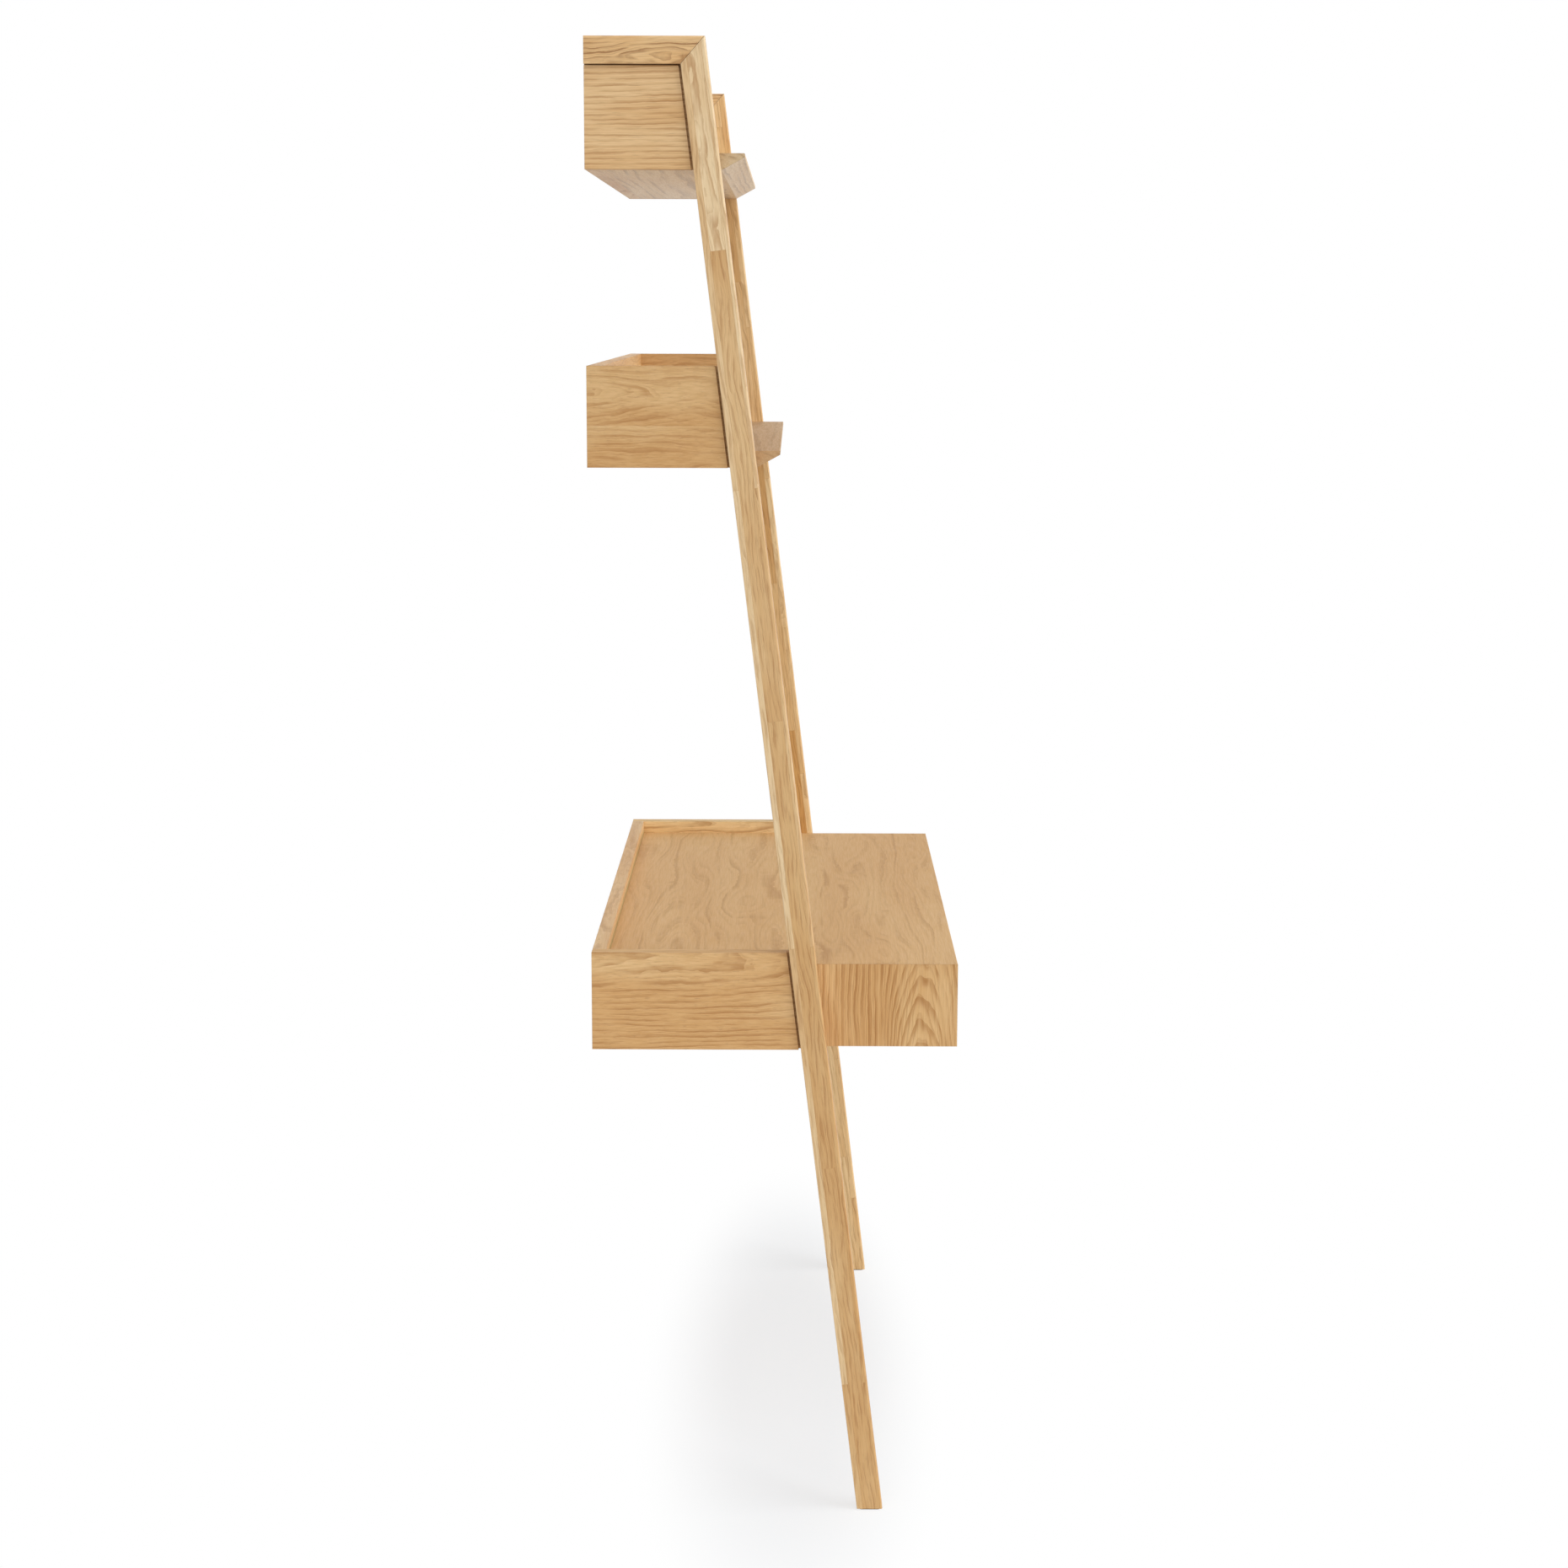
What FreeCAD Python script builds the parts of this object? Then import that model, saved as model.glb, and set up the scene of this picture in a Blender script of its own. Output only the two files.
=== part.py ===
import FreeCAD, Part
import os
import re
import Sketcher
from FreeCAD import Placement, Rotation, Vector

# Ladder desk in oak: two uprights lean back to the wall and return to it in mitred rails.
# They carry two shelf trays with wedge noses and a desk case with two inset drawers.
# X runs across the width, the wall is at +Y, the front is at -Y and the floor is Z = 0.
# Places are written as X, reach (distance from the wall towards the front) and height.

doc = FreeCAD.newDocument("LadderDesk")
sheet = doc.addObject("Spreadsheet::Sheet", "Sizes")

# Driving sizes in millimetres, the lean in degrees
sizes = {
    # whole desk
    "overall_width": 1000,
    "overall_height": 1930,
    "overall_depth": 480,
    # leaning uprights, the rails that return to the wall, and the felt under the feet
    "lean_angle": 6.95,
    "foot_reach": 386,
    "upright_thickness": 25,
    "upright_width": 34,
    "rail_height": 34,
    "mitre_line": 0.4,
    "upright_round": 2.5,
    "glide_thickness": 2,
    "glide_margin": 3,
    "glide_corner": 4,
    # side panels with their shadow gap, and back panels
    "panel_thickness": 20,
    "shadow_gap": 3,
    "shadow_depth": 8,
    "rail_gap": 1.5,
    "back_thickness": 18,
    "tray_height": 128,
    "tray_spacing": 371,
    # shelves
    "shelf_thickness": 21,
    "nose_reach": 32,
    "nose_edge": 5,
    "edge_round": 1,
    # desk case
    "desk_underside": 637,
    "case_height": 111,
    "gallery_rise": 19,
    "case_board": 20,
    "floor_thickness": 15,
    "divider_thickness": 20,
    "finger_space": 20,
    "spline_stop": 30,
    # drawers
    "drawer_rear_space": 64,
    "drawer_gap": 2,
    "front_thickness": 18,
    "pull_depth": 8,
    "pull_height": 14,
    "drawer_side_thickness": 12,
    "drawer_headroom": 10,
    "drawer_lift": 4,
    "drawer_back_drop": 6,
    "housing_depth": 4,
    "ply_thickness": 5,
    "ply_lift": 8,
    "ply_clearance": 0.1,
    "groove_depth": 6,
    "groove_spare": 0.5,
    # ball slides
    "slide_overlap": 98,
    "slide_setback": 2,
    "slide_space": 12.7,
    "slide_height": 35,
    "slide_web_gap": 1.5,
    "slide_lip": 2.2,
    "slide_wall": 1.2,
    "ball_diameter": 3.9,
    "ball_clearance": 0.2,
    "cage_wall": 0.8,
    "cage_wing": 2.7,
    "cage_clearance": 0.8,
    # loose tongues across the joints
    "tongue_thickness": 4,
    "tongue_width": 14,
    "mitre_tongue_length": 24,
    # cam fittings between the shelves and the uprights
    "cam_radius": 7.5,
    "cam_height": 12.5,
    "cam_setback": 34,
    "cam_clearance": 0.1,
    "cam_slot_width": 1.6,
    "cam_slot_depth": 2,
    "pin_radius": 3,
    "pin_bite": 11,
    "pin_channel_radius": 4,
    "hole_clearance": 0.05,
    "hole_end_gap": 1,
    # bolts and threaded inserts between the case and the uprights
    "bolt_radius": 3,
    "bolt_head_radius": 6.5,
    "bolt_head_height": 3.5,
    "bolt_clearance": 0.3,
    "insert_radius": 5,
    "insert_length": 15,
    # clearance holes for screws into the wall
    "wall_hole_radius": 2.75,
    "wall_hole_inset": 75,
    "wall_hole_lift": 70,
    # how far a cutting shape runs past the face that it opens
    "overrun": 2,
}

# Shares of the length of a joint that a tongue fills
tongue_share = 0.7
drawer_tongue_share = 0.6

for row, (name, number) in enumerate(sizes.items(), start=1):
    sheet.set(f"A{row}", name)
    sheet.set(f"B{row}", str(number))
    sheet.setAlias(f"B{row}", name)
doc.recompute()

word = re.compile(r"[a-z]\w*")
same_point = 1e-4
pieces = {}


def formula(text):
    """Turn a sum of size names into an expression on the sheet."""
    return word.sub(lambda found: f"Sizes.{found[0]}" if found[0] in sizes else found[0], text)


def value(text):
    """The present value of such a sum."""
    result = sheet.evalExpression(formula(text))
    return float(getattr(result, "Value", result))


def bind(item, prop, text):
    item.setExpression(prop, formula(text))


def place(item, x, reach, height):
    """Bind an object's place, given as X, reach from the wall and height."""
    bind(item, "Placement.Base.x", x)
    bind(item, "Placement.Base.y", f"overall_depth / 2 - ({reach})")
    bind(item, "Placement.Base.z", height)


# Lines that several pieces share

half_inside = "(overall_width / 2 - upright_thickness)"
inner_left = f"(-{half_inside})"
rail_underside = "(overall_height - rail_height)"
top_level = f"({rail_underside} - tray_height)"
middle_level = f"({top_level} - tray_spacing)"
desk_level = "(desk_underside + case_height)"
gallery_level = f"({desk_level} + gallery_rise)"
case_depth = "(overall_depth - back_thickness)"
case_ceiling = f"({desk_level} - case_board)"
case_inner_left = f"({inner_left} + case_board)"
floor_level = "(desk_underside + floor_thickness)"
front_back_face = "(overall_depth - front_thickness)"
floor_depth = f"({front_back_face} - finger_space - back_thickness)"
floor_middle = f"(back_thickness + {floor_depth} / 2)"
box_level = f"({floor_level} + drawer_lift)"
box_height = f"({case_ceiling} - drawer_headroom - {box_level})"
slide_level = f"({box_level} + ({box_height} - slide_height) / 2)"


def front_at(height):
    """Reach of the uprights' front line at a height."""
    return f"(foot_reach - ({height}) * tan(lean_angle * 1deg))"


def back_at(height):
    """Reach of the uprights' back line at a height."""
    return f"({front_at(height)} - upright_width / cos(lean_angle * 1deg))"


def middle_at(height):
    return f"(({front_at(height)} + {back_at(height)}) / 2)"


# Ways to make a piece

def outline(body, plane, points):
    """A closed sketch through points whose coordinates are bound to the sheet."""
    sketch = body.newObject("Sketcher::SketchObject", "outline")
    support = [item for item in body.Origin.OriginFeatures if item.Role == plane]
    sketch.AttachmentSupport = [(support[0], "")]
    sketch.MapMode = "FlatFace"
    corners = [Vector(value(across), value(up), 0) for across, up in points]
    count = len(corners)
    for index in range(count):
        sketch.addGeometry(Part.LineSegment(corners[index], corners[(index + 1) % count]), False)
    for index in range(count):
        sketch.addConstraint(Sketcher.Constraint("Coincident", index, 2, (index + 1) % count, 1))
    for index, point in enumerate(points):
        for kind, axis, text in zip(("DistanceX", "DistanceY"), (-2, -1), point):
            if text == "0":
                sketch.addConstraint(Sketcher.Constraint("PointOnObject", index, 1, axis))
                continue
            number = sketch.addConstraint(Sketcher.Constraint(kind, -1, 1, index, 1, value(text)))
            sketch.setExpression(f"Constraints[{number}]", formula(text))
    return sketch


def edge_names(shape, targets):
    """Names of the edges that run between the given pairs of points."""
    names = []
    for number, edge in enumerate(shape.Edges, start=1):
        ends = [vertex.Point for vertex in edge.Vertexes]
        for first, second in targets:
            forward = ends[0].isEqual(first, same_point) and ends[-1].isEqual(second, same_point)
            backward = ends[0].isEqual(second, same_point) and ends[-1].isEqual(first, same_point)
            if forward or backward:
                names.append(f"Edge{number}")
    return names


def prism(label, plane, layers, x="0", reach="0", height="0", rounds=(), radius="edge_round"):
    """A body of outlines padded one on another.

    On YZ_Plane an outline is in reach and height and is padded towards -X.
    On XZ_Plane it is in X and height and is padded towards the front.
    On XY_Plane it is in X and reach and is padded upwards.
    A round names two corners of the first outline, and where the edge lies: along, start or end.
    """
    body = doc.addObject("PartDesign::Body", label)
    below = "0"
    for points, thickness in layers:
        sketch = outline(body, plane, points)
        if below != "0":
            bind(sketch, "AttachmentOffset.Base.z", below)
        pad = body.newObject("PartDesign::Pad", "layer")
        pad.Profile = sketch
        bind(pad, "Length", thickness)
        below = f"({below} + {thickness})"
    turn = {"YZ_Plane": Rotation(Vector(0, 0, 1), 180), "XZ_Plane": Rotation(),
            "XY_Plane": Rotation(Vector(1, 0, 0), 180)}
    body.Placement = Placement(Vector(), turn[plane])
    place(body, x, reach, height)
    doc.recompute()
    if rounds:
        depth = value(below)
        put = {"YZ_Plane": lambda a, b, d: Vector(d, a, b), "XZ_Plane": lambda a, b, d: Vector(a, -d, b),
               "XY_Plane": lambda a, b, d: Vector(a, b, d)}[plane]
        ends = {"along": (0, depth), "start": (0, 0), "end": (depth, depth)}
        corners = [(value(across), value(up)) for across, up in layers[0][0]]
        targets = [(put(*corners[i], ends[where][0]), put(*corners[j], ends[where][1]))
                   for i, j, where in rounds]
        fillet = body.newObject("PartDesign::Fillet", "rounded")
        fillet.Base = (pad, edge_names(pad.Shape, targets))
        bind(fillet, "Radius", radius)
    return body


def block(label, x, reach, height, length, depth, thickness):
    """A box that starts at its rear lower left corner and runs right, to the front and up."""
    box = doc.addObject("Part::Box", label)
    bind(box, "Length", length)
    bind(box, "Width", depth)
    bind(box, "Height", thickness)
    place(box, x, f"({reach}) + ({depth})", height)
    return box


def rod(label, x, reach, height, radius, length, tilt=None):
    """A cylinder towards -X, or with a tilt from upright towards the front."""
    item = doc.addObject("Part::Cylinder", label)
    bind(item, "Radius", radius)
    bind(item, "Height", length)
    if tilt is None:
        item.Placement = Placement(Vector(), Rotation(Vector(0, 1, 0), -90))
    else:
        item.Placement = Placement(Vector(), Rotation(Vector(1, 0, 0), value(tilt)))
        bind(item, "Placement.Rotation.Angle", tilt)
    place(item, x, reach, height)
    return item


def tongue(label, x, reach, height, width, depth, tall, tilt="0deg"):
    """A strip about its middle, tilted from upright towards the front; it cuts its own slots."""
    strip = doc.addObject("Part::Box", label)
    bind(strip, "Length", width)
    bind(strip, "Width", depth)
    bind(strip, "Height", tall)
    strip.Placement = Placement(Vector(), Rotation(Vector(1, 0, 0), value(tilt)))
    bind(strip, "Placement.Rotation.Angle", tilt)
    place(strip, f"{x} - ({width}) / 2",
          f"{reach} - ({tall}) / 2 * sin({tilt}) + ({depth}) / 2 * cos({tilt})",
          f"{height} - ({tall}) / 2 * cos({tilt}) - ({depth}) / 2 * sin({tilt})")
    return strip


def group(label, items):
    together = doc.addObject("Part::Compound", label)
    together.Links = items
    return together


def mirrored(label, item, centre="0"):
    """A copy on the other side of a plane across X."""
    copy = doc.addObject("Part::Mirroring", label)
    copy.Source = item
    copy.Normal = (1, 0, 0)
    if centre != "0":
        bind(copy, "Base.x", centre)
    return copy


def both_sides(label, items):
    left = group(f"{label}_left", items)
    return group(label, [left, mirrored(f"{label}_right", left)])


def joined(label, items):
    whole = doc.addObject("Part::MultiFuse", label)
    whole.Shapes = items
    return whole


def cut(label, base, tool):
    result = doc.addObject("Part::Cut", label)
    result.Base = base
    result.Tool = tool
    return result


def keep(label, item):
    """Hand a finished object over as the piece of that name."""
    item.Label = label
    pieces[label] = item
    return item


def keep_pair(name, item):
    """Keep a left piece and its mirror image on the right."""
    keep(f"left_{name}", item)
    keep(f"right_{name}", mirrored(f"right_{name}", item))


# Joints: each makes its fastenings and what they cut

levels = {"top": top_level, "middle": middle_level, "desk": "desk_underside"}
crowns = {"top": rail_underside, "middle": f"({middle_level} + tray_height)", "desk": gallery_level}
upright_cuts = []
panel_cuts = {level: [] for level in levels}
shelf_cuts = {"top": [], "middle": []}
case_side_cuts = []

# side panel to upright along the lean, and back panel to side panel
panel_tongues = []
corner_tongues = {}
panel_x = f"{inner_left} - (panel_thickness - shadow_depth) / 2"
lean_tilt = "(180deg - lean_angle * 1deg)"
for level in levels:
    height = f"(({levels[level]} + {crowns[level]}) / 2)"
    tall = f"({crowns[level]} - {levels[level]}) * {tongue_share}"
    slanted = tongue(f"{level}_panel_tongue", panel_x, back_at(height), height, "tongue_thickness",
                     "tongue_width", tall, lean_tilt)
    corner = tongue(f"{level}_corner_tongue", inner_left, "back_thickness / 2", height, "tongue_width",
                    "tongue_thickness", tall)
    panel_tongues.append(slanted)
    corner_tongues[level] = corner
    upright_cuts.append(slanted)
    panel_cuts[level] += [slanted, corner]

# rail to upright, across the mitre
mitre_run = f"({front_at('overall_height')} - {back_at(rail_underside)})"
rail_tongue = tongue("rail_tongue", f"{inner_left} - upright_thickness / 2",
                     f"(({front_at('overall_height')} + {back_at(rail_underside)}) / 2)",
                     f"((overall_height + {rail_underside}) / 2)", "tongue_thickness", "tongue_width",
                     "mitre_tongue_length", f"atan({mitre_run} / rail_height)")
upright_cuts.append(rail_tongue)

# shelf to side panel by a tongue, and to the upright by a pin that a cam draws tight
shelf_tongues = []
cams = []
pins = []
for level in shelf_cuts:
    height = f"({levels[level]} + shelf_thickness / 2)"
    end_depth = f"({back_at(height)} - back_thickness)"
    end = tongue(f"{level}_shelf_tongue", inner_left, f"back_thickness + {end_depth} / 2", height,
                 "tongue_width", f"{end_depth} * {tongue_share}", "tongue_thickness")
    shelf_tongues.append(end)
    panel_cuts[level].append(end)
    cam_x = f"{inner_left} + cam_setback"
    reach = middle_at(height)
    pins.append(rod("cam_pin", cam_x, reach, height, "pin_radius", "cam_setback + pin_bite"))
    upright_cuts.append(rod("pin_bite_hole", cam_x, reach, height, "pin_radius + hole_clearance",
                            "cam_setback + pin_bite + hole_end_gap"))
    channel = rod("pin_channel", f"{cam_x} + pin_channel_radius", reach, height, "pin_channel_radius",
                  "cam_setback + pin_channel_radius")
    seat = rod("cam_seat", cam_x, reach, f"{levels[level]} - overrun", "cam_radius + cam_clearance",
               "cam_height + overrun", "0deg")
    shelf_cuts[level] = [end, joined("cam_recess", [channel, seat])]
    barrel = rod("cam_barrel", cam_x, reach, levels[level], "cam_radius", "cam_height", "0deg")
    slot = block("cam_slot", f"{cam_x} - cam_slot_width / 2", f"{reach} - cam_radius",
                 f"{levels[level]} - overrun", "cam_slot_width", "2 * cam_radius",
                 "cam_slot_depth + overrun")
    cams.append(cut("cam", barrel, joined("cam_openings", [channel, slot])))

# case to upright: sunk bolts from inside the case, below and above the slide, into threaded inserts
bolts = []
inserts = []
bolt_length = "(case_board + insert_length - hole_end_gap)"
bolt_heights = (f"(({floor_level} + {slide_level}) / 2)",
                f"(({slide_level} + slide_height + {case_ceiling}) / 2)")
for height in bolt_heights:
    reach = middle_at(height)
    shank = rod("bolt_shank", case_inner_left, reach, height, "bolt_radius", bolt_length)
    head = rod("bolt_head", case_inner_left, reach, height, "bolt_head_radius", "bolt_head_height")
    bolts.append(joined("bolt", [shank, head]))
    bore = rod("bolt_bore", case_inner_left, reach, height, "bolt_radius + bolt_clearance",
               f"{bolt_length} + hole_end_gap")
    seat = rod("bolt_seat", case_inner_left, reach, height, "bolt_head_radius + bolt_clearance",
               "bolt_head_height")
    case_side_cuts.append(joined("bolt_hole", [bore, seat]))
    sleeve = rod("insert_sleeve", inner_left, reach, height, "insert_radius", "insert_length")
    inserts.append(cut("insert", sleeve, bore))
    upright_cuts.append(rod("insert_seat", inner_left, reach, height, "insert_radius + hole_clearance",
                            "insert_length + hole_end_gap"))

# case floor to case side, and divider to floor and desk top
floor_length = f"{floor_depth} * {tongue_share}"
floor_tongue = tongue("floor_tongue", case_inner_left, floor_middle, "desk_underside + floor_thickness / 2",
                      "tongue_width", floor_length, "tongue_thickness")
case_side_cuts.append(floor_tongue)
divider_tongues = [tongue("divider_tongue", "0", floor_middle, height, "tongue_thickness", floor_length,
                          "tongue_width") for height in (floor_level, case_ceiling)]

# desk top to case side: a spline across the mitre
spline_shift = "cos(45deg)"
spline = doc.addObject("Part::Box", "spline")
bind(spline, "Length", "tongue_width")
bind(spline, "Width", f"{case_depth} - 2 * spline_stop")
bind(spline, "Height", "tongue_thickness")
spline.Placement = Placement(Vector(), Rotation(Vector(0, 1, 0), -45))
place(spline, f"{inner_left} + case_board / 2 - (tongue_width - tongue_thickness) / 2 * {spline_shift}",
      "overall_depth - spline_stop",
      f"{desk_level} - case_board / 2 - (tongue_width + tongue_thickness) / 2 * {spline_shift}")
case_side_cuts.append(spline)

# back panel to the boards in front of it
board_middles = {"top_shelf": f"{top_level} + shelf_thickness / 2",
                 "middle_shelf": f"{middle_level} + shelf_thickness / 2",
                 "desk_top": f"{desk_level} - case_board / 2",
                 "case_floor": "desk_underside + floor_thickness / 2"}
back_tongues = {board: tongue(f"{board}_back_tongue", "0", "back_thickness", height,
                              f"2 * {half_inside} * {tongue_share}", "tongue_width", "tongue_thickness")
                for board, height in board_middles.items()}
back_boards = {"top": ["top_shelf"], "middle": ["middle_shelf"], "desk": ["desk_top", "case_floor"]}

# Uprights and rails

upright = prism("upright_blank", "YZ_Plane", [([
    (back_at("glide_thickness"), "glide_thickness"),
    (front_at("glide_thickness"), "glide_thickness"),
    (front_at("overall_height"), "overall_height"),
    (back_at(rail_underside), rail_underside),
], "upright_thickness")], x=inner_left, rounds=[(1, 2, "start"), (1, 2, "end")], radius="upright_round")
keep_pair("upright", cut("left_upright", upright, group("upright_cuts", upright_cuts)))

# the rail stops short of the upright by the fine dark line that shows at the mitre
rail = prism("rail_blank", "YZ_Plane", [([
    ("0", rail_underside),
    (f"{back_at(rail_underside)} - mitre_line", rail_underside),
    (f"{front_at('overall_height')} - mitre_line", "overall_height"),
    ("0", "overall_height"),
], "upright_thickness")], x=inner_left, rounds=[(2, 3, "start"), (2, 3, "end")], radius="upright_round")
keep_pair("top_rail", cut("left_top_rail", rail, rail_tongue))

glide_length = "(upright_width / cos(lean_angle * 1deg) - 2 * glide_margin)"
glide_width = "(upright_thickness - 2 * glide_margin)"
keep_pair("foot_glide", prism("left_foot_glide", "XY_Plane", [([
    ("0", "0"),
    (glide_width, "0"),
    (glide_width, glide_length),
    ("0", glide_length),
], "glide_thickness")], x="-overall_width / 2 + glide_margin",
    reach=f"{back_at('glide_thickness')} + glide_margin", height="glide_thickness",
    rounds=[(corner, corner, "along") for corner in range(4)], radius="glide_corner"))

# Trays: side panels with a shadow gap beside the upright, back panels and wedge-nosed shelves

for level in levels:
    low = levels[level]
    high = crowns[level]
    top_gap = "rail_gap" if level == "top" else "0"
    face_high = f"({high} - {top_gap})"
    gap = "shadow_gap / cos(lean_angle * 1deg)"
    panel = prism(f"{level}_panel_blank", "YZ_Plane", [
        ([("0", low), (back_at(low), low), (back_at(high), high), ("0", high)],
         "(panel_thickness - shadow_depth)"),
        ([("0", low), (f"{back_at(low)} - {gap}", low), (f"{back_at(face_high)} - {gap}", face_high),
          ("0", face_high)], "shadow_depth"),
    ], x=inner_left)
    keep_pair(f"{level}_panel", cut(f"left_{level}_panel", panel,
                                    group(f"{level}_panel_cuts", panel_cuts[level])))

    back = block(f"{level}_back_blank", inner_left, "0", low, f"2 * {half_inside}", "back_thickness",
                 f"{high} - {low}")
    openings = [both_sides(f"{level}_corner_slots", [corner_tongues[level]])]
    openings += [back_tongues[board] for board in back_boards[level]]
    if level == "top":
        wall_hole = rod("wall_hole", f"{inner_left} + wall_hole_inset", "-overrun",
                        f"{low} + wall_hole_lift", "wall_hole_radius", "back_thickness + 2 * overrun",
                        "90deg")
        openings.append(both_sides("wall_holes", [wall_hole]))
    keep(f"{level}_back_panel", cut(f"{level}_back_panel", back, group(f"{level}_back_openings", openings)))

for level in shelf_cuts:
    low = levels[level]
    high = f"({low} + shelf_thickness)"
    nose = f"({front_at(high)} + nose_reach)"
    shelf = prism(f"{level}_shelf_blank", "YZ_Plane", [([
        ("back_thickness", low),
        (front_at(low), low),
        (nose, f"{high} - nose_edge"),
        (nose, high),
        ("back_thickness", high),
    ], f"2 * {half_inside}")], x=half_inside, rounds=[(2, 2, "along"), (3, 3, "along")])
    openings = group(f"{level}_shelf_openings", [both_sides(f"{level}_shelf_ends", shelf_cuts[level]),
                                                 back_tongues[f"{level}_shelf"]])
    keep(f"{level}_shelf", cut(f"{level}_shelf", shelf, openings))

# Desk case: the top turns down into the sides at a mitre

case_width = f"(2 * {half_inside})"
desk_top = prism("desk_top_blank", "XZ_Plane", [([
    ("case_board", "0"),
    (f"{case_width} - case_board", "0"),
    (case_width, "case_board"),
    ("0", "case_board"),
], case_depth)], x=inner_left, reach="back_thickness", height=case_ceiling, rounds=[(2, 3, "end")])
splines = keep("mitre_splines", both_sides("mitre_splines", [spline]))
keep("desk_top", cut("desk_top", desk_top, group("desk_top_openings", [
    splines, back_tongues["desk_top"], divider_tongues[1]])))

case_side = prism("case_side_blank", "XZ_Plane", [([
    ("0", "0"),
    ("case_board", "0"),
    ("case_board", "(case_height - case_board)"),
    ("0", "case_height"),
], case_depth)], x=inner_left, reach="back_thickness", height="desk_underside")
keep_pair("case_side", cut("left_case_side", case_side, group("case_side_cuts", case_side_cuts)))

case_floor = block("case_floor_blank", case_inner_left, "back_thickness", "desk_underside",
                   f"2 * {half_inside} - 2 * case_board", floor_depth, "floor_thickness")
floor_tongues = keep("floor_tongues", both_sides("floor_tongues", [floor_tongue]))
keep("case_floor", cut("case_floor", case_floor, group("case_floor_openings", [
    floor_tongues, back_tongues["case_floor"], divider_tongues[0]])))
divider = prism("case_divider_blank", "YZ_Plane", [([
    ("back_thickness", floor_level),
    (f"back_thickness + {floor_depth}", floor_level),
    (f"back_thickness + {floor_depth}", "desk_underside"),
    ("overall_depth", "desk_underside"),
    ("overall_depth", case_ceiling),
    ("back_thickness", case_ceiling),
], "divider_thickness")], x="divider_thickness / 2")
divider_pair = keep("divider_tongues", group("divider_tongues", divider_tongues))
keep("case_divider", cut("case_divider", divider, divider_pair))

# Left drawer, in the bay between the case side and the divider

bay_left = case_inner_left
bay_right = "(-divider_thickness / 2)"
bay_centre = f"(({bay_left} + {bay_right}) / 2)"
box_left = f"({bay_left} + slide_space)"
box_right = f"({bay_right} - slide_space)"
box_width = f"({box_right} - {box_left})"
box_start = "(back_thickness + drawer_rear_space)"
box_length = f"({front_back_face} - {box_start})"
ply_level = f"({box_level} + ply_lift)"
groove_height = "(ply_thickness + 2 * ply_clearance)"

drawer_tongue = tongue("drawer_tongue", f"{box_left} + drawer_side_thickness / 2", front_back_face,
                       f"{box_level} + {box_height} * {drawer_tongue_share}", "tongue_thickness",
                       "tongue_width", f"{box_height} * {drawer_tongue_share}")
drawer_tongues = group("left_drawer_tongues", [
    drawer_tongue, mirrored("drawer_tongue_inner", drawer_tongue, bay_centre)])
keep_pair("drawer_tongues", drawer_tongues)

drawer_front = prism("drawer_front_blank", "YZ_Plane", [([
    (f"{front_back_face} + pull_depth", "desk_underside"),
    ("overall_depth", "desk_underside"),
    ("overall_depth", f"{case_ceiling} - drawer_gap"),
    (front_back_face, f"{case_ceiling} - drawer_gap"),
    (front_back_face, "desk_underside + pull_height"),
], f"({bay_right} - {bay_left} - 2 * drawer_gap)")], x=f"{bay_right} - drawer_gap",
    rounds=[(1, 1, "along"), (2, 2, "along"), (1, 2, "start"), (1, 2, "end")])
front_groove = block("front_groove", f"{box_left} + drawer_side_thickness - groove_depth",
                     f"{front_back_face} - overrun", f"{ply_level} - ply_clearance",
                     f"{box_width} - 2 * (drawer_side_thickness - groove_depth)", "groove_depth + overrun",
                     groove_height)
keep_pair("drawer_front", cut("left_drawer_front", drawer_front,
                              group("drawer_front_openings", [front_groove, drawer_tongues])))

groove_face = "(drawer_side_thickness - groove_depth)"
groove_low = "(ply_lift - ply_clearance)"
side_blank = prism("drawer_side_blank", "XZ_Plane", [([
    ("0", "0"),
    ("drawer_side_thickness", "0"),
    ("drawer_side_thickness", groove_low),
    (groove_face, groove_low),
    (groove_face, f"{groove_low} + {groove_height}"),
    ("drawer_side_thickness", f"{groove_low} + {groove_height}"),
    ("drawer_side_thickness", box_height),
    ("0", box_height),
], box_length)], x=box_left, reach=box_start, height=box_level)
back_low = f"({ply_level} + ply_thickness + ply_clearance)"
back_high = f"({box_level} + {box_height} - drawer_back_drop)"
housing_left = f"{box_left} + drawer_side_thickness - housing_depth"
drawer_back = block("left_drawer_back", housing_left, f"{box_start} + drawer_side_thickness", back_low,
                    f"{box_width} - 2 * (drawer_side_thickness - housing_depth)", "drawer_side_thickness",
                    f"{back_high} - {back_low}")
outer_side = cut("left_drawer_outer_side", side_blank,
                 group("drawer_side_openings", [drawer_back, drawer_tongue]))
keep_pair("drawer_outer_side", outer_side)
keep_pair("drawer_inner_side", mirrored("left_drawer_inner_side", outer_side, bay_centre))
keep_pair("drawer_back", drawer_back)

keep_pair("drawer_bottom", block(
    "left_drawer_bottom", f"{box_left} + {groove_face} + groove_spare",
    f"{box_start} + drawer_side_thickness", ply_level,
    f"{box_width} - 2 * ({groove_face} + groove_spare)",
    f"{box_length} - drawer_side_thickness + groove_depth - groove_spare", "ply_thickness"))

# Ball slides: the outer member is on the case, the inner one on the drawer, the cage runs between

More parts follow.
